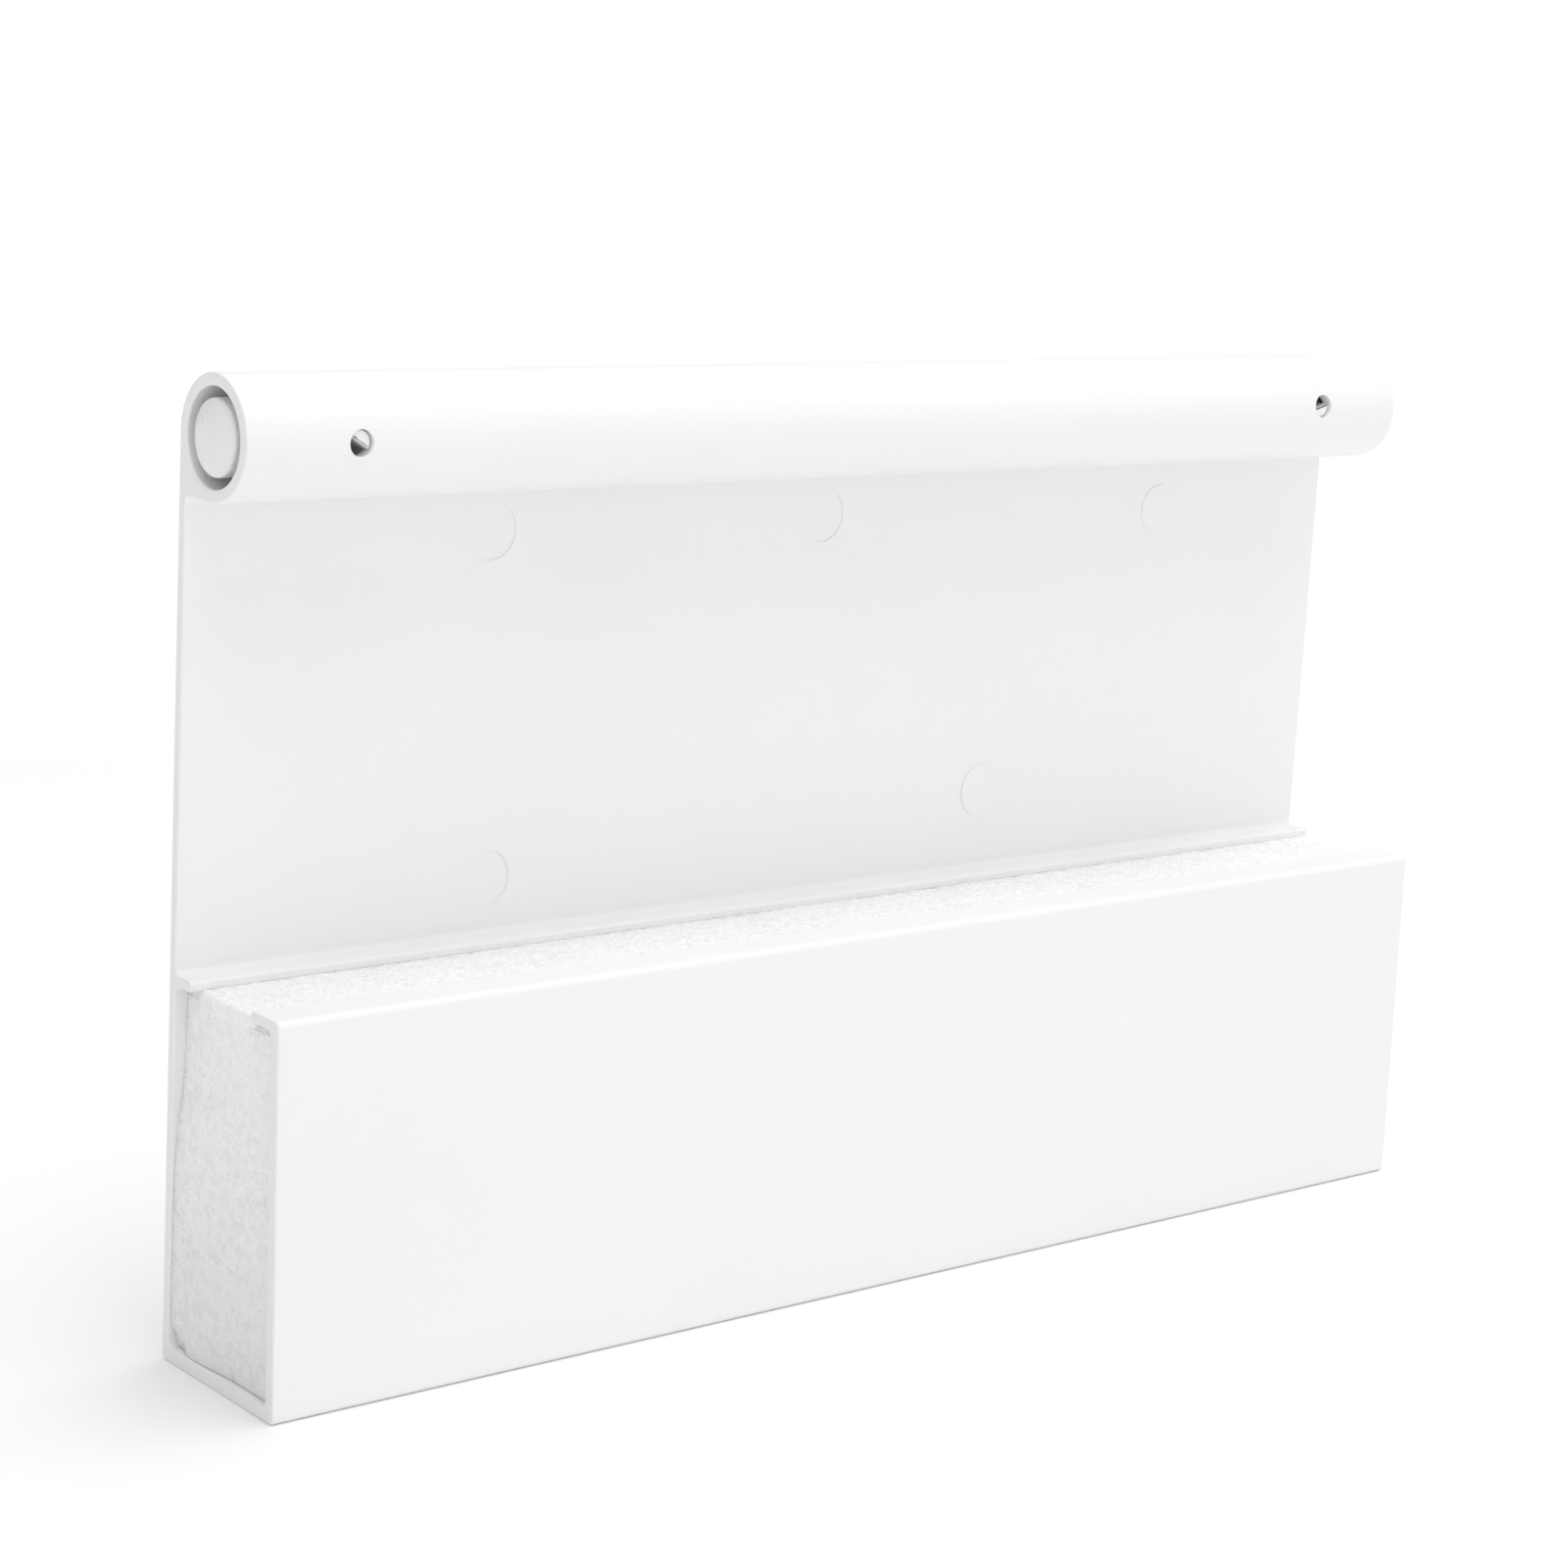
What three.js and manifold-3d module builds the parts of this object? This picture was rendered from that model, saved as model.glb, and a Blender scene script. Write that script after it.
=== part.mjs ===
// Float weir for a swimming-pool skimmer: a moulded flap with a hinge tube along its top, a foam-filled
// trough along its bottom, and two sprung pivot plungers inside the tube.
// Millimetres. +Z is up, the trough's front faces -Y, and the hinge axis lies along X.
import * as THREE from "three";
import { mergeVertices } from "three/addons/utils/BufferGeometryUtils.js";
import Module from "manifold-3d";

const wasm = await Module();
wasm.setup();

// ---- driving dimensions ----
const flapLength = 203;
const tubeOuterRadius = 7.9;
const tubeBoreRadius = 6.25;
const tubeAxisHeight = 119.3;
const panelThickness = 1.5;
const troughHeight = 51.1;
const troughFootDepth = 27.3; // from the flap's rear face to the foot of the front wall
const troughTopDepth = 26.3; // the front wall leans back by its moulding draft
const troughFloor = 2.0;
const frontWall = 1.9;
const ledgeReach = 3.8; // rear ledge over the foam, beyond the panel's face
const frontLipWidth = 6.4; // front lip over the foam, wall included
const lipThickness = 1.4;
const outerRound = 0.9;
const edgeRound = 0.45;
const cornerFillet = 0.9;
const foamGap = 0.1;
const foamCrown = 0.5; // the strip bulges up this far between the ledge and the lip
const foamCrownSlope = 1; // across which it rises
const foamEndInset = { left: 0.8, right: 1.0 };

const holeRadius = 1.7; // one drilled hole near each end of the tube
const holeInset = 16.1; // from the tube's end to the hole's axis
const holeTilt = { left: -1, right: 7 }; // degrees above the horizontal

const plungerStroke = 5;
const noseRadius = 4.85;
const noseProud = 0.6; // how far the nose stands out of the tube at rest
const noseFlatRadius = 1.6;
const noseCrown = 0.7; // height of the nose's gentle dome
const noseEdgeRound = 0.5;
const grooveRadius = 3;
const landRadius = 6.08;
const landLength = 9;
const spigotRadius = 3.7;
const spigotLength = 6;
const chamfer = 0.4;

const pinRadius = 1.6;
const pinFlatOffset = 0.05; // the half-round pin's flat, this far beyond its middle
const pinOuterReach = 7.35; // distance of the pin's outer end from the tube's axis
const pinInnerReach = 3.4;
const pinFlatTurn = { left: 237, right: 105 }; // degrees, where the flat faces, seen from the front

const springWire = 1.1;
const springCoilRadius = 4.6;
const springRestLength = 22;
const springActiveTurns = 5;
const springDeadTurns = 1.25;
const springGap = 0.15;
const stepsPerTurn = 14;

const spacerRadius = 5.95;
const spacerDisc = 2;
const spacerRib = 1.8;

// ---- places worked out from them ----
const flapDepth = troughFootDepth;
const halfLength = flapLength / 2;
const rearFaceY = flapDepth / 2; // the origin is below the middle of the object's box
const tubeAxisY = rearFaceY - tubeOuterRadius;
const landStart = holeInset + pinRadius + 0.2; // all distances in from the tube's end
const landEnd = landStart + landLength;
const grooveStart = holeInset - pinRadius - plungerStroke - 0.9;
const springStart = landEnd + springGap;
const spacerStart = springStart + springRestLength + springGap;

// ---- materials ----
function plastic(colour, roughness) {
  return new THREE.MeshStandardMaterial({ color: colour, roughness, metalness: 0 });
}

function steel() {
  return new THREE.MeshStandardMaterial({ color: 0xb9bcbf, roughness: 0.3, metalness: 0.9 });
}

const whiteAbs = plastic(0xf2f2ef, 0.38);
const beadFoam = plastic(0xf4f4f2, 0.85);
const acetal = plastic(0xe9e9e6, 0.35);

// ---- geometry helpers ----
function toSolid(geometry) {
  const bare = geometry.clone();
  bare.deleteAttribute("normal");
  bare.deleteAttribute("uv");
  const merged = mergeVertices(bare, 1e-4);
  return new wasm.Manifold(
    new wasm.Mesh({
      numProp: 3,
      vertProperties: new Float32Array(merged.attributes.position.array),
      triVerts: new Uint32Array(merged.index.array),
    })
  );
}

function toGeometry(solid) {
  const mesh = solid.getMesh();
  const geometry = new THREE.BufferGeometry();
  geometry.setAttribute("position", new THREE.BufferAttribute(mesh.vertProperties, 3));
  geometry.setIndex(new THREE.BufferAttribute(mesh.triVerts, 1));
  geometry.computeVertexNormals();
  return geometry;
}

function named(name, geometry, material) {
  const mesh = new THREE.Mesh(geometry, material);
  mesh.name = name;
  return mesh;
}

// A section drawn with x = depth forward of the rear face and y = height, swept along the hinge axis
// from `from` to `to`, both measured from the left end.
function sweepSection(shape, from, to, curveSegments = 16) {
  const geometry = new THREE.ExtrudeGeometry(shape, { depth: to - from, bevelEnabled: false, curveSegments });
  const forward = new THREE.Vector3(0, -1, 0);
  const up = new THREE.Vector3(0, 0, 1);
  const along = new THREE.Vector3(-1, 0, 0);
  geometry.applyMatrix4(new THREE.Matrix4().makeBasis(forward, up, along));
  geometry.translate(to - halfLength, rearFaceY, 0);
  return geometry;
}

// A turned piece: profile points are [radius, distance in from the tube's left end].
function turnAboutHinge(profile, segments = 40) {
  const points = profile.map(([radius, inward]) => new THREE.Vector2(radius, inward));
  const geometry = new THREE.LatheGeometry(points, segments);
  geometry.rotateZ(-Math.PI / 2);
  geometry.translate(-halfLength, 0, 0);
  return geometry;
}

// Turns a piece built at the left end round to the right end and puts it on the hinge axis.
function placeOnHinge(mesh, side) {
  mesh.position.set(0, tubeAxisY, tubeAxisHeight);
  mesh.rotation.z = side === "right" ? Math.PI : 0;
  return mesh;
}

// Rounds the corner at (x, y) between the incoming and outgoing directions.
function roundTo(path, x, y, radius, fromDirection, toDirection) {
  path.lineTo(x - fromDirection[0] * radius, y - fromDirection[1] * radius);
  path.quadraticCurveTo(x, y, x + toDirection[0] * radius, y + toDirection[1] * radius);
}

// ---- the moulded flap: panel, hinge tube and trough in one piece ----
function flapSection() {
  const forward = [1, 0];
  const back = [-1, 0];
  const up = [0, 1];
  const down = [0, -1];
  const lipUnderside = troughHeight - lipThickness;
  const leanPerHeight = (troughFootDepth - troughTopDepth) / troughHeight;
  const innerFront = (height) => troughFootDepth - leanPerHeight * height - frontWall;
  const ledgeEdge = panelThickness + ledgeReach;
  const lipEdge = troughTopDepth - frontLipWidth;
  const tubeLow = tubeAxisHeight - tubeOuterRadius;

  const path = new THREE.Shape();
  path.moveTo(0, outerRound);
  path.quadraticCurveTo(0, 0, outerRound, 0);
  roundTo(path, troughFootDepth, 0, outerRound, forward, up);
  roundTo(path, troughTopDepth, troughHeight, outerRound, up, back);
  roundTo(path, lipEdge, troughHeight, edgeRound, back, down);
  roundTo(path, lipEdge, lipUnderside, edgeRound, down, forward);
  roundTo(path, innerFront(lipUnderside), lipUnderside, cornerFillet, forward, down);
  roundTo(path, innerFront(troughFloor), troughFloor, cornerFillet, down, back);
  roundTo(path, panelThickness, troughFloor, cornerFillet, back, up);
  roundTo(path, panelThickness, lipUnderside, cornerFillet, up, forward);
  roundTo(path, ledgeEdge, lipUnderside, edgeRound, forward, up);
  roundTo(path, ledgeEdge, troughHeight, edgeRound, up, back);
  roundTo(path, panelThickness, troughHeight, cornerFillet, back, up);
  roundTo(path, panelThickness, tubeLow, cornerFillet, up, forward);
  path.absarc(tubeOuterRadius, tubeAxisHeight, tubeOuterRadius, -Math.PI / 2, Math.PI, false);

  const bore = new THREE.Path();
  bore.absarc(tubeOuterRadius, tubeAxisHeight, tubeBoreRadius, 0, 2 * Math.PI, true);
  path.holes.push(bore);
  return path;
}

// A drill standing on the tube's front, for the hole `inset` in from the named end.
function holeDrill(side) {
  const drill = new THREE.CylinderGeometry(holeRadius, holeRadius, tubeOuterRadius, 32);
  drill.translate(0, tubeOuterRadius, 0);
  drill.rotateX(Math.PI);
  drill.rotateX(-THREE.MathUtils.degToRad(holeTilt[side]));
  const towardsEnd = side === "left" ? -1 : 1;
  drill.translate(towardsEnd * (halfLength - holeInset), tubeAxisY, tubeAxisHeight);
  return drill;
}

function weirFlap() {
  let solid = toSolid(sweepSection(flapSection(), 0, flapLength, 20));
  for (const side of ["left", "right"]) {
    solid = solid.subtract(toSolid(holeDrill(side)));
  }
  return named("weir_flap", toGeometry(solid), whiteAbs);
}

// ---- the foam strip held in the trough ----
function foamFloat() {
  const lean = (troughFootDepth - troughTopDepth) / troughHeight;
  const low = troughFloor + foamGap;
  const high = troughHeight - lipThickness - foamGap;
  const rear = panelThickness + foamGap;
  const ledgeEdge = panelThickness + ledgeReach;
  const lipEdge = troughTopDepth - frontLipWidth;
  const foamCrownClear = 0.2; // past the edges of the ledge and the lip
  const front = (height) => troughFootDepth - lean * height - frontWall - foamGap;
  const section = new THREE.Shape();
  section.moveTo(rear, low + cornerFillet);
  section.quadraticCurveTo(rear, low, rear + cornerFillet, low);
  section.lineTo(front(low) - cornerFillet, low);
  section.quadraticCurveTo(front(low), low, front(low), low + cornerFillet);
  section.lineTo(front(high - cornerFillet), high - cornerFillet);
  section.quadraticCurveTo(front(high), high, front(high) - cornerFillet, high);
  section.lineTo(lipEdge - foamCrownClear, high);
  section.lineTo(lipEdge - foamCrownClear - foamCrownSlope, high + foamCrown);
  section.lineTo(ledgeEdge + foamCrownClear + foamCrownSlope, high + foamCrown);
  section.lineTo(ledgeEdge + foamCrownClear, high);
  section.lineTo(rear + cornerFillet, high);
  section.quadraticCurveTo(rear, high, rear, high - cornerFillet);
  section.closePath();
  const geometry = sweepSection(section, foamEndInset.left, flapLength - foamEndInset.right, 4);
  return named("foam_float", geometry, beadFoam);
}

// ---- the pivot plunger: domed nose, groove for its pin, guiding land and spring spigot ----
function plungerGeometry() {
  const profile = [
    [0, -noseProud],
    [noseFlatRadius, -noseProud],
  ];
  const crownEdge = noseRadius - noseEdgeRound;
  const crownSteps = 5;
  for (let step = 1; step <= crownSteps; step += 1) {
    const radius = noseFlatRadius + ((crownEdge - noseFlatRadius) * step) / crownSteps;
    const share = (radius - noseFlatRadius) / (crownEdge - noseFlatRadius);
    profile.push([radius, -noseProud + noseCrown * share * share]);
  }
  const edgeStart = -noseProud + noseCrown;
  const edgeSteps = 4;
  for (let step = 1; step <= edgeSteps; step += 1) {
    const angle = (Math.PI / 2) * (step / edgeSteps);
    const radius = crownEdge + noseEdgeRound * Math.sin(angle);
    profile.push([radius, edgeStart + noseEdgeRound * (1 - Math.cos(angle))]);
  }
  profile.push([noseRadius, grooveStart]);
  profile.push([grooveRadius, grooveStart]);
  profile.push([grooveRadius, landStart]);
  profile.push([landRadius - chamfer, landStart]);
  profile.push([landRadius, landStart + chamfer]);
  profile.push([landRadius, landEnd - chamfer]);
  profile.push([landRadius - chamfer, landEnd]);
  profile.push([spigotRadius, landEnd]);
  profile.push([spigotRadius, landEnd + spigotLength - chamfer]);
  profile.push([spigotRadius - chamfer, landEnd + spigotLength]);
  profile.push([0, landEnd + spigotLength]);
  return turnAboutHinge(profile);
}

function pivotPlunger(side) {
  return placeOnHinge(named(`${side}_plunger`, plungerGeometry(), acetal), side);
}

// ---- the compression spring between each plunger and the spacer ----
class CoilPath extends THREE.Curve {
  getPoint(share, target = new THREE.Vector3()) {
    const turns = springActiveTurns + 2 * springDeadTurns;
    const turn = share * turns;
    const deadPitch = springWire * 1.04;
    const deadLength = springDeadTurns * deadPitch;
    const activeLength = springRestLength - springWire - 2 * deadLength;
    const activePitch = activeLength / springActiveTurns;
    let along = turn * deadPitch;
    if (turn > springDeadTurns) {
      along = deadLength + Math.min(turn - springDeadTurns, springActiveTurns) * activePitch;
    }
    if (turn > springDeadTurns + springActiveTurns) {
      along += (turn - springDeadTurns - springActiveTurns) * deadPitch;
    }
    const angle = 2 * Math.PI * turn;
    return target.set(
      springStart + springWire / 2 + along - halfLength,
      springCoilRadius * Math.cos(angle),
      springCoilRadius * Math.sin(angle)
    );
  }
}

function springGeometry() {
  const section = new THREE.Shape();
  section.absarc(0, 0, springWire / 2, 0, 2 * Math.PI, false);
  const turns = springActiveTurns + 2 * springDeadTurns;
  return new THREE.ExtrudeGeometry(section, {
    steps: Math.round(turns * stepsPerTurn),
    extrudePath: new CoilPath(),
    curveSegments: 4,
    bevelEnabled: false,
  });
}

function plungerSpring(side) {
  return placeOnHinge(named(`${side}_spring`, springGeometry(), steel()), side);
}

// ---- the spacer that keeps the two springs apart: a cross-section rod with a disc at each end ----
function axleSpacer() {
  const start = spacerStart;
  const end = flapLength - spacerStart;
  const half = spacerRib / 2;
  const reach = spacerRadius - 0.35;
  const cross = new THREE.Shape();
  cross.moveTo(half, half);
  for (const [x, y] of [[reach, half], [reach, -half], [half, -half], [half, -reach], [-half, -reach],
    [-half, -half], [-reach, -half], [-reach, half], [-half, half], [-half, reach], [half, reach]]) {
    cross.lineTo(x, y);
  }
  cross.closePath();
  const rod = new THREE.ExtrudeGeometry(cross, { depth: end - start - spacerDisc, bevelEnabled: false });
  rod.rotateY(Math.PI / 2);
  rod.translate(start + spacerDisc / 2 - halfLength, 0, 0);

  const discProfile = [
    [0, start - spigotLength],
    [spigotRadius - chamfer, start - spigotLength],
    [spigotRadius, start - spigotLength + chamfer],
    [spigotRadius, start],
    [spacerRadius, start],
    [spacerRadius, start + spacerDisc],
    [0, start + spacerDisc],
  ];
  const leftDisc = turnAboutHinge(discProfile);
  const rightDisc = leftDisc.clone();
  rightDisc.rotateZ(Math.PI);
  const solid = toSolid(rod).add(toSolid(leftDisc)).add(toSolid(rightDisc));
  const mesh = named("axle_spacer", toGeometry(solid), acetal);
  return placeOnHinge(mesh, "left");
}

// ---- the half-round pin in each drilled hole, reaching into the plunger's groove ----
function retainingPin(side) {
  const middle = THREE.MathUtils.degToRad(pinFlatTurn[side]);
  const halfFlat = Math.acos(pinFlatOffset / pinRadius);
  const section = new THREE.Shape();
  section.absarc(0, 0, pinRadius, middle + halfFlat, middle + 2 * Math.PI - halfFlat, false);
  section.closePath();
  const geometry = new THREE.ExtrudeGeometry(section, {
    depth: pinOuterReach - pinInnerReach,
    bevelEnabled: false,
    curveSegments: 20,
  });
  geometry.translate(0, 0, pinInnerReach);
  geometry.rotateX(Math.PI / 2);
  geometry.rotateX(-THREE.MathUtils.degToRad(holeTilt[side]));
  const mesh = named(`${side}_retaining_pin`, geometry, acetal);
  const towardsEnd = side === "left" ? -1 : 1;
  mesh.position.set(towardsEnd * (halfLength - holeInset), tubeAxisY, tubeAxisHeight);
  return mesh;
}

// ---- assembly ----
const floatWeir = new THREE.Group();
floatWeir.add(weirFlap());
floatWeir.add(foamFloat());
floatWeir.add(axleSpacer());
for (const side of ["left", "right"]) {
  floatWeir.add(pivotPlunger(side));
  floatWeir.add(plungerSpring(side));
  floatWeir.add(retainingPin(side));
}

export default floatWeir;
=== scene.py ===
# Float weir for a pool skimmer: the looks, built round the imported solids.
# Metres. +Z is up, the trough's front faces -Y, and the hinge tube lies along X.
import math

import bmesh
import bpy
from mathutils import Matrix, Vector, noise


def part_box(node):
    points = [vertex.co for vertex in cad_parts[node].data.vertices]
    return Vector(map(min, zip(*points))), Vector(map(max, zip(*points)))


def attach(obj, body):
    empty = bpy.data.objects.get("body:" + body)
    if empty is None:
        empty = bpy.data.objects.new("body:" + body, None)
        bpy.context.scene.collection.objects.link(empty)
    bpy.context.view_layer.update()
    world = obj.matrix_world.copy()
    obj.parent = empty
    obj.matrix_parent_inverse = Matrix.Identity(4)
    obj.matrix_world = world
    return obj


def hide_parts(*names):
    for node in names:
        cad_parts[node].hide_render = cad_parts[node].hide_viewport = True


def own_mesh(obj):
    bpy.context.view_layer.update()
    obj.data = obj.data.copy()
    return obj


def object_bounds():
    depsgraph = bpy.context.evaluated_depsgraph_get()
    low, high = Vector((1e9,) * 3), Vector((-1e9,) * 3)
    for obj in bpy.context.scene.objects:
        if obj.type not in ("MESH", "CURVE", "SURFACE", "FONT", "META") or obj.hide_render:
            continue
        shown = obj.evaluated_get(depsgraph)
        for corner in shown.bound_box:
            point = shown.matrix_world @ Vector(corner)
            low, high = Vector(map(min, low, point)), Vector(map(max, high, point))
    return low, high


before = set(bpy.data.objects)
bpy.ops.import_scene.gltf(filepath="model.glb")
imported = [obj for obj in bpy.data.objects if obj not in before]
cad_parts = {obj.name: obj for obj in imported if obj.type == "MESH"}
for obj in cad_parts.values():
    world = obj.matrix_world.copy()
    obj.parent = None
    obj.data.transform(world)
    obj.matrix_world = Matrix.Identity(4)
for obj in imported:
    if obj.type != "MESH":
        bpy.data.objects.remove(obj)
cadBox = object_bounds()
mm = 0.001
nearlyNothing = 0.0001 * mm
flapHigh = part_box("weir_flap")[1]
foamLow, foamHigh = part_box("foam_float")
halfLength = flapHigh.x
rearFace = flapHigh.y
print("frame loaded")


# Small helpers.
def finishMesh(bm, name, sharpAngle):
    bmesh.ops.remove_doubles(bm, verts=bm.verts, dist=nearlyNothing)
    bmesh.ops.recalc_face_normals(bm, faces=bm.faces)
    for face in bm.faces:
        face.smooth = True
    for edge in bm.edges:
        edge.smooth = len(edge.link_faces) == 2 and edge.calc_face_angle(0) < math.radians(sharpAngle)
    mesh = bpy.data.meshes.new(name)
    bm.to_mesh(mesh)
    bm.free()
    return mesh


def addPiece(mesh, name, body, node, material):
    piece = bpy.data.objects.new(name, mesh)
    bpy.context.scene.collection.objects.link(piece)
    mesh.materials.clear()
    mesh.materials.append(material)
    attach(piece, body)
    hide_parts(node)
    return piece


def evenNormals(piece):  # lets the large faces set the shading, so small rounds don't tint them
    weighted = piece.modifiers.new("evenNormals", "WEIGHTED_NORMAL")
    weighted.mode = "FACE_AREA"
    weighted.weight = 100
    weighted.keep_sharp = True


def smoothStep(low, high, value):
    share = min(max((value - low) / (high - low), 0), 1)
    return share * share * (3 - 2 * share)


def faceTurn(side):  # pieces are built for the left end, and turned half round for the right one
    return Matrix.Rotation(math.pi if side == "right" else 0, 4, "Z")


def chain(bm, points):  # a line of vertices through the given places
    verts = [bm.verts.new(point) for point in points]
    edges = [bm.edges.new(pair) for pair in zip(verts, verts[1:])]
    return verts, edges


# Materials.
def newMaterial(name):
    material = bpy.data.materials.new(name)
    material.use_nodes = True
    nodes = material.node_tree.nodes
    links = material.node_tree.links
    shader = nodes["Principled BSDF"]
    where = nodes.new("ShaderNodeTexCoord").outputs["Object"]
    return material, nodes, links, shader, where


def noiseNode(nodes, links, where, scale, detail=3, roughness=0.5):
    pattern = nodes.new("ShaderNodeTexNoise")
    pattern.inputs["Scale"].default_value = scale
    pattern.inputs["Detail"].default_value = detail
    pattern.inputs["Roughness"].default_value = roughness
    links.new(where, pattern.inputs["Vector"])
    return pattern.outputs["Fac"]


def spread(nodes, links, source, low, high, toLow, toHigh):
    ranged = nodes.new("ShaderNodeMapRange")
    ranged.inputs["From Min"].default_value = low
    ranged.inputs["From Max"].default_value = high
    ranged.inputs["To Min"].default_value = toLow
    ranged.inputs["To Max"].default_value = toHigh
    links.new(source, ranged.inputs["Value"])
    return ranged.outputs["Result"]


def colourMix(nodes, links, share, first, second):
    mix = nodes.new("ShaderNodeMix")
    mix.data_type = "RGBA"
    mix.inputs["A"].default_value = (*first, 1)
    mix.inputs["B"].default_value = (*second, 1)
    links.new(share, mix.inputs["Factor"])
    return mix.outputs["Result"]


def bumpFrom(nodes, links, height, distance, strength=1.0, under=None):
    bump = nodes.new("ShaderNodeBump")
    bump.inputs["Distance"].default_value = distance
    bump.inputs["Strength"].default_value = strength
    links.new(height, bump.inputs["Height"])
    if under is not None:
        links.new(under, bump.inputs["Normal"])
    return bump.outputs["Normal"]


def mouldedPlastic(name, finish):
    material, nodes, links, shader, where = newMaterial(name)
    clouds = noiseNode(nodes, links, where, finish["cloudScale"])
    grain = noiseNode(nodes, links, where, finish["grainScale"], plasticLook["grainDetail"])
    share = spread(nodes, links, clouds, *plasticLook["cloudBand"], 0, 1)
    links.new(colourMix(nodes, links, share, finish["shade"], finish["colour"]), shader.inputs["Base Color"])
    rough = spread(nodes, links, clouds, *plasticLook["roughBand"], *finish["roughness"])
    links.new(rough, shader.inputs["Roughness"])
    waves = bumpFrom(nodes, links, clouds, finish["waveHeight"])
    links.new(bumpFrom(nodes, links, grain, finish["grainHeight"], 1.0, waves), shader.inputs["Normal"])
    shader.inputs["IOR"].default_value = plasticLook["refraction"]
    return material


plasticLook = {  # the same for every moulded piece
    "cloudBand": (0.35, 0.65),  # of the noise, from all shade to all colour
    "roughBand": (0.3, 0.7),
    "grainDetail": 2,
    "refraction": 1.5,
}
flapFinish = {
    "colour": (0.87, 0.87, 0.868),
    "shade": (0.862, 0.862, 0.86),
    "cloudScale": 45,
    "grainScale": 1800,
    "roughness": (0.3, 0.38),
    "waveHeight": 0.00005,
    "grainHeight": 0.000004,
}
pivotFinish = {
    "colour": (0.86, 0.86, 0.852),
    "shade": (0.845, 0.845, 0.838),
    "cloudScale": 160,
    "grainScale": 2600,
    "roughness": (0.26, 0.34),
    "waveHeight": 0.00001,
    "grainHeight": 0.000003,
}
foamFinish = {
    "colour": (0.96, 0.96, 0.957),
    # painted shade: the dark colour that the foam's painted shade mixes it towards
    "seam": (0.6, 0.6, 0.597),
    "mottle": (0.95, 0.95, 0.95),
    "crumbScale": 1700,  # torn crumbs, about half a millimetre across
    "crumbDetail": (5, 0.7),
    "crumbHeight": 0.00005,
    "mottleBand": (0.5, 0.32),
    "patchScale": 130,  # torn cells glint in patches, with plain foam between them
    "patchDetail": (3, 0.6),
    "patchBand": (0.44, 0.62),
    "patchStrength": (0.05, 1),
    "cellScale": 1500,  # the flat walls of single gas cells
    "cellHeight": 0.00015,
    "cellRoughness": (0.15, 0.6),
    "refraction": 1.45,
    "through": 0.3,  # light that goes into the foam and comes out again
    "throughReach": 0.003,
}
steelFinish = {
    "colour": (0.62, 0.63, 0.64),
    "shade": (0.5, 0.51, 0.52),
    "drawScale": 900,
    "drawDetail": 4,
    "drawStretch": (4, 1, 1),
    "roughBand": (0.3, 0.7),
    "roughness": (0.2, 0.38),
    "lineHeight": 0.000004,
}


def beadFoamMaterial():
    material, nodes, links, shader, where = newMaterial("beadFoam")
    # the painted shade carried by the mesh mixes the foam's colour towards the seam colour
    shade = nodes.new("ShaderNodeAttribute")
    shade.attribute_name = "paintedFoamShade"
    crumbs = noiseNode(nodes, links, where, foamFinish["crumbScale"], *foamFinish["crumbDetail"])
    patches = noiseNode(nodes, links, where, foamFinish["patchScale"], *foamFinish["patchDetail"])
    cells = nodes.new("ShaderNodeTexVoronoi")
    cells.inputs["Scale"].default_value = foamFinish["cellScale"]
    links.new(where, cells.inputs["Vector"])
    base = colourMix(nodes, links, shade.outputs["Fac"], foamFinish["seam"], foamFinish["colour"])
    mottled = nodes.new("ShaderNodeMix")
    mottled.data_type = "RGBA"
    mottled.blend_type = "MULTIPLY"
    links.new(spread(nodes, links, crumbs, *foamFinish["mottleBand"], 0, 1), mottled.inputs["Factor"])
    links.new(base, mottled.inputs["A"])
    mottled.inputs["B"].default_value = (*foamFinish["mottle"], 1)
    links.new(mottled.outputs["Result"], shader.inputs["Base Color"])
    parts = nodes.new("ShaderNodeSeparateColor")
    links.new(cells.outputs["Color"], parts.inputs["Color"])
    cellRoughness = spread(nodes, links, parts.outputs["Red"], 0, 1, *foamFinish["cellRoughness"])
    links.new(cellRoughness, shader.inputs["Roughness"])
    facets = nodes.new("ShaderNodeBump")
    facets.inputs["Distance"].default_value = foamFinish["cellHeight"]
    strength = spread(nodes, links, patches, *foamFinish["patchBand"], *foamFinish["patchStrength"])
    links.new(strength, facets.inputs["Strength"])
    links.new(cells.outputs["Distance"], facets.inputs["Height"])
    rough = bumpFrom(nodes, links, crumbs, foamFinish["crumbHeight"], 1.0, facets.outputs["Normal"])
    links.new(rough, shader.inputs["Normal"])
    shader.inputs["IOR"].default_value = foamFinish["refraction"]
    shader.inputs["Subsurface Weight"].default_value = foamFinish["through"]
    shader.inputs["Subsurface Radius"].default_value = (1, 1, 1)
    shader.inputs["Subsurface Scale"].default_value = foamFinish["throughReach"]
    return material


def drawnSteel():
    material, nodes, links, shader, where = newMaterial("springSteel")
    stretched = nodes.new("ShaderNodeMapping")
    stretched.inputs["Scale"].default_value = steelFinish["drawStretch"]
    links.new(where, stretched.inputs["Vector"])
    lines = noiseNode(nodes, links, stretched.outputs["Vector"], steelFinish["drawScale"],
                      steelFinish["drawDetail"])
    mixed = colourMix(nodes, links, lines, steelFinish["shade"], steelFinish["colour"])
    links.new(mixed, shader.inputs["Base Color"])
    rough = spread(nodes, links, lines, *steelFinish["roughBand"], *steelFinish["roughness"])
    links.new(rough, shader.inputs["Roughness"])
    links.new(bumpFrom(nodes, links, lines, steelFinish["lineHeight"]), shader.inputs["Normal"])
    shader.inputs["Metallic"].default_value = 1
    return material


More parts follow.
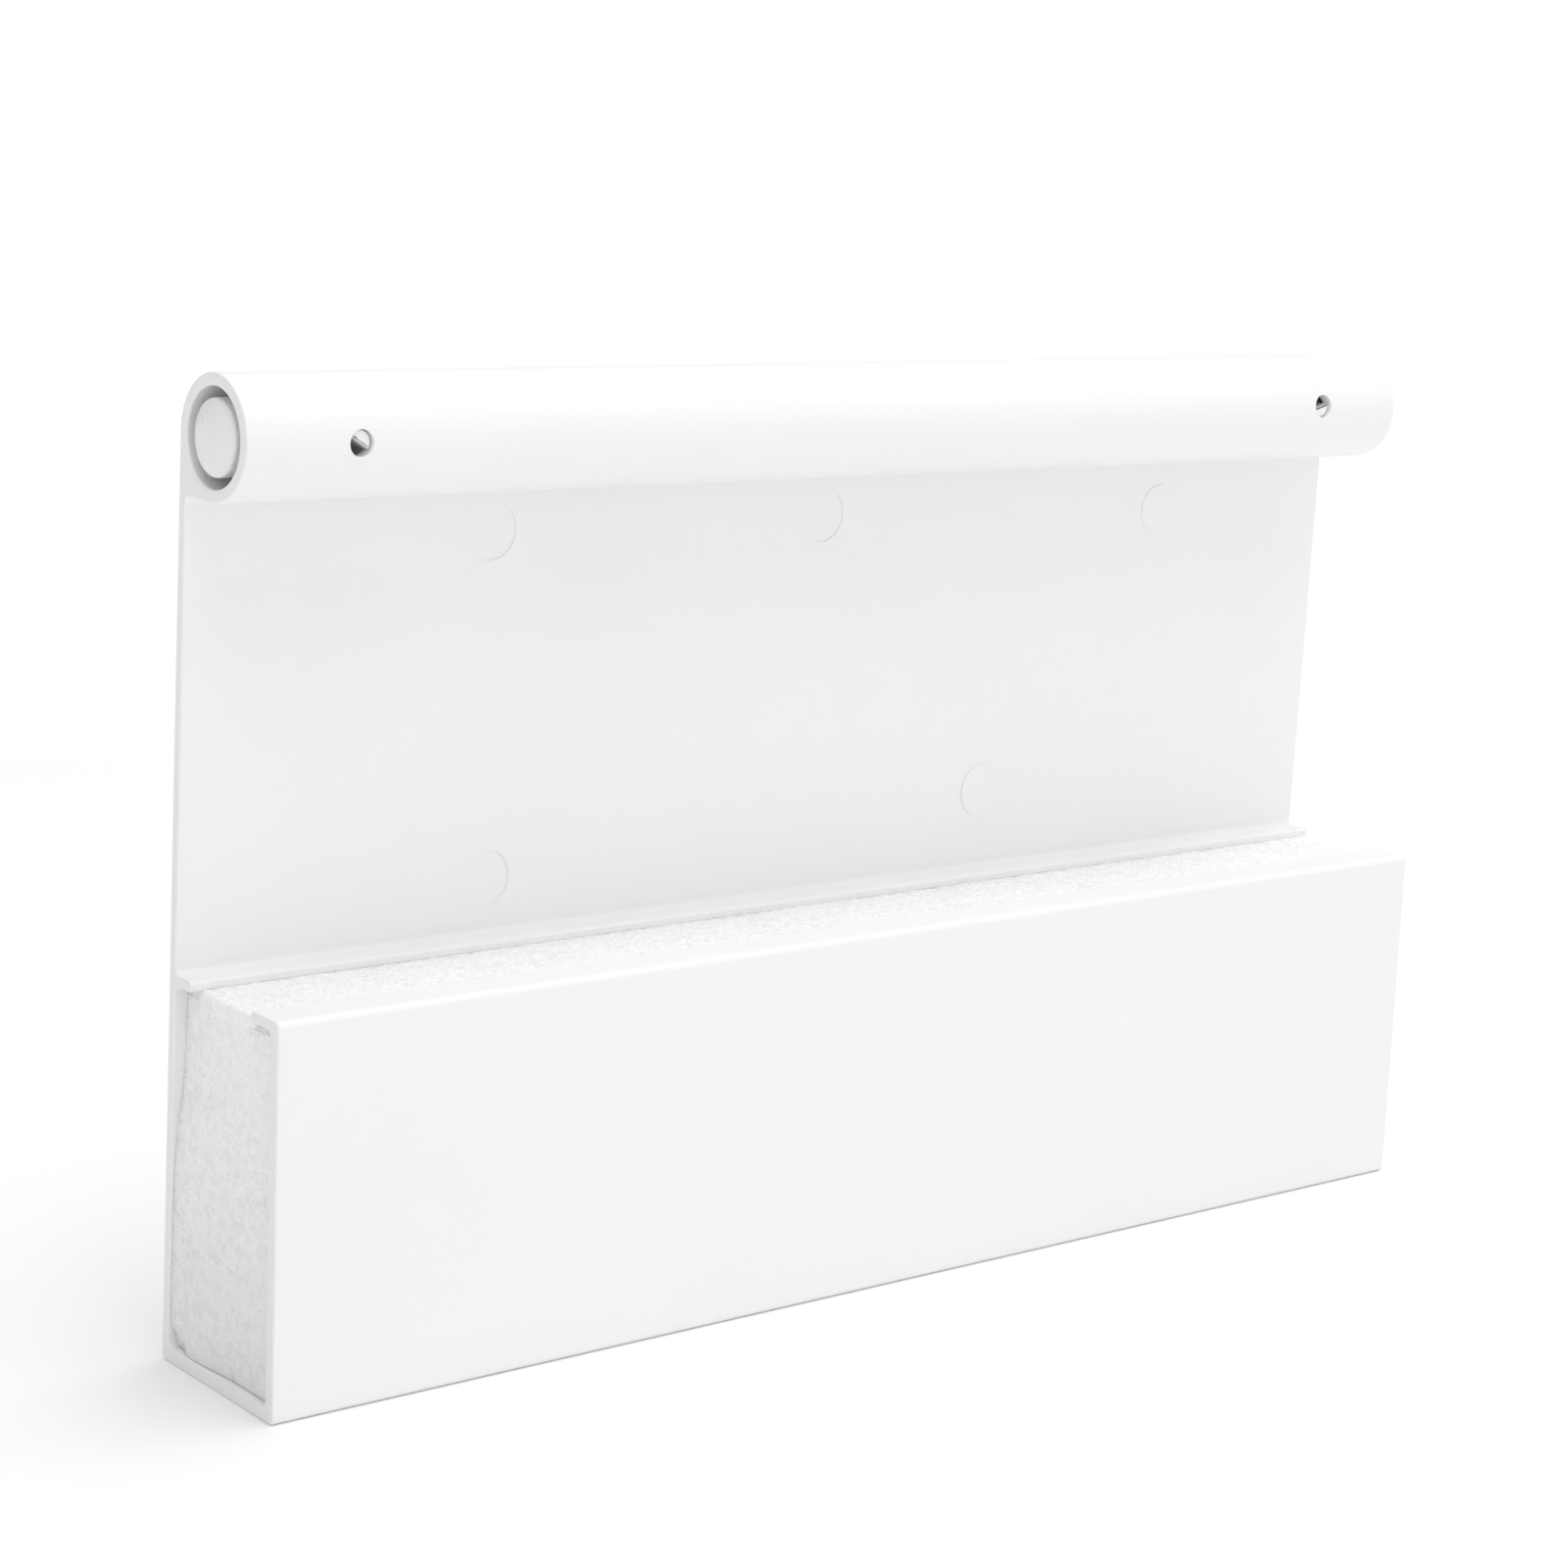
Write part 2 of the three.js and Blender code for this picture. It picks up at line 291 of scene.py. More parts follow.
flapPlastic = mouldedPlastic("flapPlastic", flapFinish)
pivotPlastic = mouldedPlastic("pivotPlastic", pivotFinish)
beadFoam = beadFoamMaterial()
springSteel = drawnSteel()
print("materials made")


# Moulded flap.
flap = {
    "tubeRadius": 7.9 * mm,
    "boreRadius": 6.25 * mm,
    "panelThickness": 1.5 * mm,
    "troughHeight": 51.1 * mm,
    "footDepth": 27.3 * mm,
    "topDepth": 26.3 * mm,
    "floor": 2.0 * mm,
    "frontWall": 1.9 * mm,
    "ledgeReach": 3.8 * mm,
    "lipWidth": 6.4 * mm,
    "lipThickness": 1.4 * mm,
    "outerRound": 0.9 * mm,
    "edgeRound": 0.45 * mm,
    "cornerFillet": 0.9 * mm,
    "endRound": 0.28 * mm,
    "endSteps": 4,
    "tubeSteps": 96,
    "boreSteps": 128,
    "cornerSteps": 7,
    "holeRadius": 1.7 * mm,
    "holeInset": 16.1 * mm,
    "holeTilt": {"left": -1, "right": 7},  # degrees above the horizontal
    "holeSteps": 48,
    "sharpAngle": 42,
    "markSteps": 56,
    "markReach": 0.5 * mm,  # how far a mark's cutter or pad reaches past the panel's face
}
# Ejector marks on the panel's front: distance in from the left end, height, radius, depth at the middle
# (below nought stands proud), and the slope of the disc across and up, in millimetres over its radius.
ejectorMarks = [
    (45.4, 105.3, 3.9, 0.15, 0.12, -0.03),
    (101.2, 105.2, 3.9, 0.14, 0.12, -0.02),
    (167.9, 103.4, 3.8, -0.11, 0.03, 0.07),
    (46.3, 58.7, 3.9, 0.14, 0.09, 0.08),
    (134.9, 62.8, 3.9, -0.16, 0.06, 0.06),
    (66.1, 74.7, 3.9, 0.012, 0.005, 0.0),
]
tubeAxis = Vector((0, rearFace - flap["tubeRadius"], flapHigh.z - flap["tubeRadius"]))


def sectionOutline(bm):
    # Every corner of the flap's section: depth forward of the rear face, height, and its rounding.
    top = flap["troughHeight"]
    under = top - flap["lipThickness"]
    wall = flap["panelThickness"]
    ledge = wall + flap["ledgeReach"]
    lip = flap["topDepth"] - flap["lipWidth"]
    lean = (flap["footDepth"] - flap["topDepth"]) / top
    tubeLow = tubeAxis.z - flap["tubeRadius"]
    outer = flap["outerRound"]
    edge = flap["edgeRound"]
    fillet = flap["cornerFillet"]
    corners = [
        (0, 0, outer),
        (flap["footDepth"], 0, outer),
        (flap["topDepth"], top, outer),
        (lip, top, edge),
        (lip, under, edge),
        (flap["footDepth"] - lean * under - flap["frontWall"], under, fillet),
        (flap["footDepth"] - lean * flap["floor"] - flap["frontWall"], flap["floor"], fillet),
        (wall, flap["floor"], fillet),
        (wall, under, fillet),
        (ledge, under, edge),
        (ledge, top, edge),
        (wall, top, fillet),
        (wall, tubeLow, fillet),
    ]
    verts, edges = chain(bm, [(0, rearFace - depth, height) for depth, height, rounding in corners])
    # the tube's underside starts its round, which runs over the top to the rear face
    tubeStart = bm.verts.new((0, tubeAxis.y, tubeLow))
    bm.edges.new((verts[-1], tubeStart))
    spun = bmesh.ops.spin(bm, geom=[tubeStart], cent=tubeAxis, axis=(1, 0, 0), angle=-1.5 * math.pi,
                          steps=flap["tubeSteps"], use_merge=False)
    last = [item for item in spun["geom_last"] if isinstance(item, bmesh.types.BMVert)][0]
    bm.edges.new((last, verts[0]))
    bmesh.ops.contextual_create(bm, geom=bm.edges[:])
    for rounding in sorted({corner[2] for corner in corners}):
        chosen = [vert for vert, corner in zip(verts, corners) if corner[2] == rounding]
        bmesh.ops.bevel(bm, geom=chosen, offset=rounding, offset_type="OFFSET", affect="VERTICES",
                        segments=flap["cornerSteps"], profile=0.5, material=-1)
    bmesh.ops.delete(bm, geom=bm.faces[:], context="FACES_ONLY")


def flapSolid():
    bm = bmesh.new()
    sectionOutline(bm)
    bore = bmesh.ops.create_circle(bm, segments=flap["boreSteps"], radius=flap["boreRadius"])
    toTube = Matrix.Translation(tubeAxis) @ Matrix.Rotation(math.pi / 2, 4, "Y")
    bmesh.ops.transform(bm, matrix=toTube, verts=bore["verts"])
    bmesh.ops.triangle_fill(bm, edges=bm.edges[:], use_beauty=True, normal=(-1, 0, 0))
    inner = halfLength - flap["endRound"]
    bmesh.ops.translate(bm, vec=(-inner, 0, 0), verts=bm.verts[:])
    leftEnd = bm.faces[:]
    swept = bmesh.ops.extrude_face_region(bm, geom=leftEnd, use_keep_orig=True)
    farVerts = [item for item in swept["geom"] if isinstance(item, bmesh.types.BMVert)]
    bmesh.ops.translate(bm, vec=(2 * inner, 0, 0), verts=farVerts)
    bmesh.ops.recalc_face_normals(bm, faces=bm.faces)
    for side in (-1, 1):
        cap = [face for face in bm.faces if face.normal.x * side > 0.99]
        reached = (0.0, 0.0)
        for step in range(1, flap["endSteps"] + 1):
            turn = math.pi / 2 * step / flap["endSteps"]
            place = (flap["endRound"] * (1 - math.cos(turn)), flap["endRound"] * math.sin(turn))
            bmesh.ops.inset_region(bm, faces=cap, thickness=place[0] - reached[0],
                                   depth=place[1] - reached[1], use_boundary=True, use_even_offset=True)
            reached = place
    return finishMesh(bm, "flapBlank", flap["sharpAngle"])


def holeMatrix(side):  # from the tube's axis out along the side's drilled hole, which becomes +Z
    inward = halfLength - flap["holeInset"]
    place = Matrix.Translation(tubeAxis + Vector((-inward if side == "left" else inward, 0, 0)))
    return place @ Matrix.Rotation(math.radians(90 - flap["holeTilt"][side]), 4, "X")


def drillTool(bm, side):
    tool = bmesh.ops.create_cone(bm, cap_ends=True, segments=flap["holeSteps"], radius1=flap["holeRadius"],
                                 radius2=flap["holeRadius"], depth=flap["tubeRadius"])
    outward = Matrix.Translation((0, 0, flap["tubeRadius"]))
    bmesh.ops.transform(bm, matrix=holeMatrix(side) @ outward, verts=tool["verts"])


def markTool(bm, mark):
    inward, height, radius, depth, across, up = mark
    front = rearFace - flap["panelThickness"]
    reach = flap["markReach"]
    tool = bmesh.ops.create_cone(bm, cap_ends=True, segments=flap["markSteps"], radius1=radius * mm,
                                 radius2=radius * mm, depth=2 * reach)
    bmesh.ops.rotate(bm, verts=tool["verts"], matrix=Matrix.Rotation(math.pi / 2, 3, "X"))
    # the disc's working face ends up at the wanted depth with a slight slope
    towards = 1 if depth > 0 else -1
    for vert in tool["verts"]:
        if vert.co.y * towards > 0:
            slope = (vert.co.x * across + vert.co.z * up) / radius
            vert.co.y = (depth + slope) * mm
        else:
            vert.co.y = -towards * reach
    bmesh.ops.translate(bm, vec=(-halfLength + inward * mm, front, height * mm), verts=tool["verts"])
    bmesh.ops.recalc_face_normals(bm, faces=bm.faces)


def cutWith(target, tools, operation):
    helper = bpy.data.objects.new("tools", tools)
    bpy.context.scene.collection.objects.link(helper)
    work = bpy.data.objects.new("work", target)
    bpy.context.scene.collection.objects.link(work)
    cut = work.modifiers.new("cut", "BOOLEAN")
    cut.operation = operation
    cut.solver = "EXACT"
    cut.object = helper
    depsgraph = bpy.context.evaluated_depsgraph_get()
    result = bpy.data.meshes.new_from_object(work.evaluated_get(depsgraph))
    bpy.data.objects.remove(work)
    bpy.data.objects.remove(helper)
    return result


def toolMesh(build):
    bm = bmesh.new()
    build(bm)
    bmesh.ops.recalc_face_normals(bm, faces=bm.faces)
    mesh = bpy.data.meshes.new("tools")
    bm.to_mesh(mesh)
    bm.free()
    return mesh


def makeFlap():
    mesh = flapSolid()
    sunken = [mark for mark in ejectorMarks if mark[3] > 0]
    proud = [mark for mark in ejectorMarks if mark[3] < 0]

    def cutters(bm):
        drillTool(bm, "left")
        drillTool(bm, "right")
        for mark in sunken:
            markTool(bm, mark)

    def pads(bm):
        for mark in proud:
            markTool(bm, mark)

    mesh = cutWith(mesh, toolMesh(cutters), "DIFFERENCE")
    mesh = cutWith(mesh, toolMesh(pads), "UNION")
    bm = bmesh.new()
    bm.from_mesh(mesh)
    mesh = finishMesh(bm, "weirFlap", flap["sharpAngle"])
    piece = addPiece(mesh, "weirFlap", "flap", "weir_flap", flapPlastic)
    evenNormals(piece)


makeFlap()
print("flap made")

# Bead foam.
foam = {
    "grain": 0.28 * mm,  # spacing of the vertices on the faces that show
    "sharpAngle": 60,
    "lowEdge": 0.05 * mm,
    "crossEdge": 0.1 * mm,
    "cornerHeight": 4,  # how many times a vertex's height counts when the lower corners are looked for
    "endAcross": {"left": 0.8 * mm, "right": 1.4 * mm},  # rounding of the strip's top end edges, inwards
    "endDown": {"left": 1.2 * mm, "right": 2.0 * mm},  # and downwards
    "press": 0.09 * mm,  # how far the soft strip swells into its clearance against the walls
    "crown": 0.45 * mm,  # the bulge between the ledge and the lip
    "crownRoom": 0.5 * mm,  # how far below its highest level the strip lies elsewhere
    "crownSlope": 0.35 * mm,
    "crownStart": 0.25 * mm,  # the crown starts this far under the ledge's and the lip's rounded corners
    # what puts the left end out of square: how far in it goes, and the depths and the shares of the
    # height over which that grows from nothing to all of it
    "slant": {"by": 0.85 * mm, "depth": (11 * mm, 3 * mm), "height": (0.35, 0.9)},
    "bulge": {"by": -0.65 * mm, "depth": (17 * mm, 7 * mm), "height": (0.8, 0.55)},
    "nick": {"by": 0.9 * mm, "depth": (7 * mm, 2.5 * mm), "height": (0.075, 0.01)},
    "paintedLowShade": 0.28,  # painted shade: how much greyer the left end gets towards the floor, standing in for the light that falls off lower down
    "paintedShadeFrom": 6 * mm,  # where the painted shade starts, below the top
    "paintedShadeReach": 5 * mm,  # how far the painted shade reaches into the strip
    "beadSize": 2.3 * mm,
    "beadDome": 0.03 * mm,
    "seamWidth": 0.22,  # of a bead
    "paintedSeamShade": 0.04,  # painted shade: how much darker the seam's groove is
    "crumbSize": 0.8 * mm,
    "crumbHeight": 0.03 * mm,
    # painted shade: the crumbs darken where they sink the face deeper
    "paintedCrumbShade": 0.05,
    "swellSize": 7 * mm,
    "swellHeight": 0.12 * mm,
    "pitSpacing": 0.95 * mm,
    "pitShift": (7.3, 1.9, 4.4),  # keeps the pits out of step with the beads
    "pitScatter": 3.7,  # sets each pit's chance apart from its neighbours'
    "pitShare": 0.22,
    "pitEdge": (0.05, 0.2, 0.3),  # of the spacing: the pit's floor, its least radius and what chance adds
    "pitDepth": 0.07 * mm,
    # painted shade: how much darker a pit is
    "paintedPitShade": 0.12,
}


def foamRoughness(point):
    # how far the cut face lies below the flat one here, and the painted shade of the foam: greyer towards the
    # floor at the left end, darker in the seams, pits and sunken crumbs
    bead = noise.voronoi(point / foam["beadSize"], distance_metric="DISTANCE")[0]
    seam = 1 - smoothStep(0, foam["seamWidth"], bead[1] - bead[0])
    distances, centres = noise.voronoi(point / foam["pitSpacing"] + Vector(foam["pitShift"]),
                                       distance_metric="DISTANCE")
    chance = noise.cell(centres[0] * foam["pitScatter"])
    floor, least, more = foam["pitEdge"]
    pit = smoothStep(least + more * chance, floor, distances[0]) if chance < foam["pitShare"] else 0
    crumbs = 0.5 + 0.5 * noise.noise(point / foam["crumbSize"])
    swell = 0.5 + 0.5 * noise.noise(point / foam["swellSize"])
    depth = foam["beadDome"] * bead[0] * bead[0] + foam["crumbHeight"] * crumbs
    depth += foam["swellHeight"] * swell + foam["pitDepth"] * pit
    # painted shade: the left end turns greyer towards the floor
    low = smoothStep(foamHigh.z - foam["paintedShadeFrom"], foamLow.z, point.z)
    shade = 1 - foam["paintedLowShade"] * low * (1 - smoothStep(0, foam["paintedShadeReach"], point.x - foamLow.x))
    # painted shade in the seams' grooves, in the pits and where the crumbs sink the face
    shade -= foam["paintedSeamShade"] * seam + foam["paintedPitShade"] * pit + foam["paintedCrumbShade"] * crumbs
    return depth, min(max(shade, 0), 1)


def foamTop(depth):
    # the level of the strip's top: low under the ledge and the lip, crowned right up to them in the opening
    ledge = flap["panelThickness"] + flap["ledgeReach"] - foam["crownStart"]
    lip = flap["topDepth"] - flap["lipWidth"] + foam["crownStart"]
    rise = foam["crownSlope"]
    opening = smoothStep(ledge, ledge + rise, depth) * smoothStep(lip, lip - rise, depth)
    return foamHigh.z - foam["crownRoom"] + foam["crown"] * opening, opening


def leftEndShift(depth, height):
    # how far the left end lies in from the plain block's end at this depth and share of the height
    return sum(cut["by"] * smoothStep(*cut["depth"], depth) * smoothStep(*cut["height"], height)
               for cut in (foam["slant"], foam["bulge"], foam["nick"]))


def foamPlace(start):
    # where a point of the plain block's face goes, before its roughness, with the way out of the foam there
    depth = rearFace - start.y
    top, opening = foamTop(depth)
    down = foamHigh.z - start.z
    onTop = down < nearlyNothing
    place = Vector((start.x, start.y, top if onTop else min(start.z, top)))
    normal = Vector((0, 0, 1)) if onTop else Vector((0, 0, 0))
    share = opening if onTop else 1
    for side, end, outward in (("left", foamLow.x, -1), ("right", foamHigh.x, 1)):
        inward = abs(start.x - end)
        across = foam["endAcross"][side]
        drop = foam["endDown"][side]
        if inward < across and down < drop:
            turn = math.pi / 4 * (1 - inward / across if onTop else 1 + down / drop)
            place.x = end - outward * across * (1 - math.sin(turn))
            place.z = top - drop * (1 - math.cos(turn))
            normal = Vector((outward * math.sin(turn) * drop, 0, math.cos(turn) * across)).normalized()
            share = 1
        elif inward < nearlyNothing:
            normal = Vector((outward, 0, 0))
        if side == "left":
            height = (start.z - foamLow.z) / (foamHigh.z - foamLow.z)
            place.x += leftEndShift(depth, height) * smoothStep(across * 2, 0, inward)
    return place, normal, share


def makeFoam():
    lean = (flap["footDepth"] - flap["topDepth"]) / flap["troughHeight"]
    size = foamHigh - foamLow
    bm = bmesh.new()
    block = bmesh.ops.create_cube(bm, size=1)
    bmesh.ops.scale(bm, vec=size, verts=block["verts"])
    bmesh.ops.translate(bm, vec=(foamHigh + foamLow) / 2, verts=block["verts"])
    hidden = [face for face in bm.faces if abs(face.normal.y) > 0.9 or face.normal.z < -0.9]
    bmesh.ops.delete(bm, geom=hidden, context="FACES")
    for axis in range(3):
        along = [edge for edge in bm.edges
                 if abs((edge.verts[0].co - edge.verts[1].co).normalized()[axis]) > 0.9]
        bmesh.ops.subdivide_edges(bm, edges=along, cuts=round(size[axis] / foam["grain"]), use_grid_fill=True)
    # an attribute that carries the foam's painted shade to its material
    paintedShadeLayer = bm.verts.layers.float.new("paintedFoamShade")
    places = []
    for vert in bm.verts:
        place, normal, share = foamPlace(vert.co)
        depth, shade = foamRoughness(place)
        depth *= share
        place -= normal * depth
        forward = (foamHigh.y - vert.co.y) / size.y
        place.y += forward * lean * (place.z - foamLow.z)  # the front leans back with the trough's wall
        place.y += foam["press"] * (1 - 2 * forward)
        places.append(place)
        vert[paintedShadeLayer] = shade
    for vert, place in zip(bm.verts, places):
        vert.co = place
    closeFoam(bm)
    mesh = finishMesh(bm, "foamStrip", foam["sharpAngle"])
    piece = addPiece(mesh, "foamStrip", "flap", "foam_float", beadFoam)


def closeFoam(bm):
    # The two long sides and the underside are hidden in the trough and stay plain. An open edge belongs
    # to the underside when it lies low and runs across the strip.
    rim = [edge for edge in bm.edges if edge.is_boundary]
    rimVerts = {vert for edge in rim for vert in edge.verts}
    middle = (foamLow.y + foamHigh.y) / 2
    corners = {}
    for end in (-1, 1):
        for way in (-1, 1):
            corners[end, way] = min(
                rimVerts,
                key=lambda vert: vert.co.z * foam["cornerHeight"] - vert.co.x * end - vert.co.y * way)
    loops = {1: [], -1: [], 0: []}
    for edge in rim:
        lowest = max(vert.co.z for vert in edge.verts) < foamLow.z + foam["lowEdge"]
        across = abs(edge.verts[0].co.y - edge.verts[1].co.y)
        if lowest and across > foam["crossEdge"]:
            loops[0].append(edge)
        else:
            loops[1 if edge.verts[0].co.y > middle else -1].append(edge)
    for way in (-1, 1):
        long = bm.edges.new((corners[-1, way], corners[1, way]))
        loops[way].append(long)
        loops[0].append(long)
    for loop in loops.values():
        made = bmesh.ops.contextual_create(bm, geom=loop)
        bmesh.ops.triangulate(bm, faces=made["faces"])


makeFoam()
print("foam made")

# Pivot plungers.
plunger = {
    "noseProud": 0.6 * mm,
    "flatRadius": 1.6 * mm,
    "crown": 0.7 * mm,
    "crownSteps": 12,
    "noseRadius": 4.85 * mm,
    "edgeRound": 0.5 * mm,
    "edgeSteps": 7,
    "grooveStart": 8.6 * mm,
    "grooveRadius": 3 * mm,
    "landStart": 17.9 * mm,
    "landRadius": 6.08 * mm,
    "landEnd": 26.9 * mm,
    "spigotRadius": 3.7 * mm,
    "spigotEnd": 32.9 * mm,
    "softening": 0.4 * mm,
    "turnSteps": 96,
    "sharpAngle": 35,
}


def plungerProfile():
    # radius and distance in from the tube's end, from the middle of the nose to the middle of the spigot
    flat = plunger["flatRadius"]
    crownEdge = plunger["noseRadius"] - plunger["edgeRound"]
    soft = plunger["softening"]
    profile = [(0, -plunger["noseProud"]), (flat, -plunger["noseProud"])]
    for step in range(1, plunger["crownSteps"] + 1):
        share = step / plunger["crownSteps"]
        radius = flat + (crownEdge - flat) * share
        profile.append((radius, -plunger["noseProud"] + plunger["crown"] * share * share))
    edgeFrom = plunger["crown"] - plunger["noseProud"]
    for step in range(1, plunger["edgeSteps"] + 1):
        turn = math.pi / 2 * step / plunger["edgeSteps"]
        profile.append((crownEdge + plunger["edgeRound"] * math.sin(turn),
                        edgeFrom + plunger["edgeRound"] * (1 - math.cos(turn))))
    land = plunger["landRadius"]
    spigot = plunger["spigotRadius"]
    profile += [
        (plunger["noseRadius"], plunger["grooveStart"]),
        (plunger["grooveRadius"], plunger["grooveStart"]),
        (plunger["grooveRadius"], plunger["landStart"]),
        (land - soft, plunger["landStart"]),
        (land, plunger["landStart"] + soft),
        (land, plunger["landEnd"] - soft),
        (land - soft, plunger["landEnd"]),
        (spigot, plunger["landEnd"]),
        (spigot, plunger["spigotEnd"] - soft),
        (spigot - soft, plunger["spigotEnd"]),
        (0, plunger["spigotEnd"]),
    ]
    return profile


def makePlunger(side):
    bm = bmesh.new()
    verts, edges = chain(bm, [(inward - halfLength, radius, 0) for radius, inward in plungerProfile()])
    bmesh.ops.spin(bm, geom=verts + edges, cent=(0, 0, 0), axis=(1, 0, 0), angle=2 * math.pi,
                   steps=plunger["turnSteps"], use_merge=True)
    bmesh.ops.transform(bm, matrix=Matrix.Translation(tubeAxis) @ faceTurn(side), verts=bm.verts)
    mesh = finishMesh(bm, side + "Plunger", plunger["sharpAngle"])
    piece = addPiece(mesh, side + "Plunger", side + "_pivot", side + "_plunger",
                     pivotPlastic)
    evenNormals(piece)


# Springs.
spring = {
    "wire": 1.1 * mm,
    "coilRadius": 4.6 * mm,
    "start": 27.05 * mm,
    "restLength": 22 * mm,
    "activeTurns": 5,
    "deadTurns": 1.25,
    "deadPitch": 1.144 * mm,
    "wireSteps": 14,
    "turnSteps": 44,
    "stroke": 5 * mm,
    "sharpAngle": 60,
}


def makeSpring(side):
    bm = bmesh.new()
    ring = bmesh.ops.create_circle(bm, segments=spring["wireSteps"], radius=spring["wire"] / 2)
    begin = Vector((spring["start"] + spring["wire"] / 2 - halfLength, spring["coilRadius"], 0))
    bmesh.ops.translate(bm, vec=begin, verts=ring["verts"])
    current = bm.verts[:] + bm.edges[:]
    bmesh.ops.contextual_create(bm, geom=bm.edges[:])
    deadLength = spring["deadTurns"] * spring["deadPitch"]
    activeLength = spring["restLength"] - spring["wire"] - 2 * deadLength
    for turns, length in ((spring["deadTurns"], deadLength), (spring["activeTurns"], activeLength),
                          (spring["deadTurns"], deadLength)):
        steps = round(turns * spring["turnSteps"])
        swept = bmesh.ops.spin(bm, geom=current, cent=(0, 0, 0), axis=(1, 0, 0), angle=2 * math.pi * turns,
                               dvec=(length / steps, 0, 0), steps=steps, use_merge=False)
        current = swept["geom_last"]
    bmesh.ops.contextual_create(bm, geom=[item for item in current if isinstance(item, bmesh.types.BMEdge)])
    bmesh.ops.transform(bm, matrix=Matrix.Translation(tubeAxis) @ faceTurn(side), verts=bm.verts)
    mesh = finishMesh(bm, side + "Spring", spring["sharpAngle"])
    piece = addPiece(mesh, side + "Spring", "axle", side + "_spring", springSteel)
    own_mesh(piece)


# Half-round retaining pins.
pin = {
    "radius": 1.6 * mm,
    "flatOffset": 0.05 * mm,
    "outerReach": 7.35 * mm,  # of the pin's outer end from the tube's axis
    "innerReach": 3.4 * mm,
    "flatTurn": {"left": 237, "right": 105},  # degrees, where the flat faces, seen from the front
    "arcSteps": 40,
    "endRound": 0.35 * mm,
    "roundSteps": 5,
    "sharpAngle": 35,
}


def makePin(side):
    halfFlat = math.acos(pin["flatOffset"] / pin["radius"])
    first = math.radians(pin["flatTurn"][side]) + halfFlat
    bm = bmesh.new()
    start = bm.verts.new((pin["radius"] * math.cos(first), pin["radius"] * math.sin(first),
                          pin["innerReach"]))
    spun = bmesh.ops.spin(bm, geom=[start], cent=(0, 0, pin["innerReach"]), axis=(0, 0, 1),
                          angle=2 * math.pi - 2 * halfFlat, steps=pin["arcSteps"], use_merge=False)
    last = [item for item in spun["geom_last"] if isinstance(item, bmesh.types.BMVert)][0]
    bm.edges.new((last, start))
    made = bmesh.ops.contextual_create(bm, geom=bm.edges[:])
    swept = bmesh.ops.extrude_face_region(bm, geom=made["faces"], use_keep_orig=True)
    far = [item for item in swept["geom"] if isinstance(item, bmesh.types.BMVert)]
    bmesh.ops.translate(bm, vec=(0, 0, pin["outerReach"] - pin["innerReach"]), verts=far)
    bmesh.ops.recalc_face_normals(bm, faces=bm.faces)
    outerRim = [edge for edge in bm.edges if all(vert in far for vert in edge.verts)]
    bmesh.ops.bevel(bm, geom=outerRim, offset=pin["endRound"], offset_type="OFFSET", affect="EDGES",
                    segments=pin["roundSteps"], profile=0.5, material=-1)
    bmesh.ops.transform(bm, matrix=holeMatrix(side), verts=bm.verts)
    mesh = finishMesh(bm, side + "RetainingPin", pin["sharpAngle"])
    piece = addPiece(mesh, side + "RetainingPin", "flap", side + "_retaining_pin",
                     pivotPlastic)
    evenNormals(piece)


for side in ("left", "right"):
    makePlunger(side)
    makeSpring(side)
    makePin(side)

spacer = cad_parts["axle_spacer"]
for materialSlot in spacer.material_slots:
    materialSlot.material = pivotPlastic
print("plungers, springs and pins made")


# Floor, light and camera.
studio = {
    "floorSize": 6.0,
    "floorColour": (0.93, 0.93, 0.93),
    "floorShade": (0.925, 0.925, 0.925),
    "floorClouds": 3,
    "floorRoughness": 0.9,
    "floorGlow": (0.03, 0.5),  # near and far, so that the floor stays white as the light falls off
    "glowReach": (0.35, 1.5),
    "boxPlace": (0.1, -0.15, 1.3),  # a wide soft box overhead
    "boxSize": (1.6, 1.0),
    "boxPower": 10.6,
    # the white room: its plain strength, and what its right and front add
    "room": 0.49,
    "roomSides": {"X": (1, 0.37), "Y": (-1, 0.38)},
    "backdrop": 1.05,
}
shot = {
    "place": (-0.3167, -0.3649, 0.1684),
    "azimuth": -39.63,
    "elevation": 11.7,
    "roll": 3.17,
    "lens": 81.2,
    "sensor": 36,
    "clip": (0.01, 50),
}


def makeFloor():
    bm = bmesh.new()
    bmesh.ops.create_grid(bm, x_segments=2, y_segments=2, size=studio["floorSize"] / 2)
    mesh = bpy.data.meshes.new("floor")
    bm.to_mesh(mesh)
    bm.free()
    floor = bpy.data.objects.new("floor", mesh)
    bpy.context.scene.collection.objects.link(floor)
    material, nodes, links, shader, where = newMaterial("paleFloor")
    clouds = noiseNode(nodes, links, where, studio["floorClouds"])
    mixed = colourMix(nodes, links, clouds, studio["floorColour"], studio["floorShade"])
    links.new(mixed, shader.inputs["Base Color"])
    shader.inputs["Roughness"].default_value = studio["floorRoughness"]
    shader.inputs["Emission Color"].default_value = (1, 1, 1, 1)
    away = nodes.new("ShaderNodeVectorMath")
    away.operation = "LENGTH"
    links.new(where, away.inputs[0])
    glow = spread(nodes, links, away.outputs["Value"], *studio["glowReach"], *studio["floorGlow"])
    links.new(glow, shader.inputs["Emission Strength"])
    mesh.materials.append(material)


def makeLights():
    data = bpy.data.lights.new("overheadBox", "AREA")
    data.shape = "RECTANGLE"
    data.size, data.size_y = studio["boxSize"]
    data.energy = studio["boxPower"]
    lamp = bpy.data.objects.new("overheadBox", data)
    lamp.location = studio["boxPlace"]
    lamp.rotation_mode = "QUATERNION"
    middle = (cadBox[0] + cadBox[1]) / 2
    lamp.rotation_quaternion = (middle - lamp.location).to_track_quat("-Z", "Y")
    bpy.context.scene.collection.objects.link(lamp)


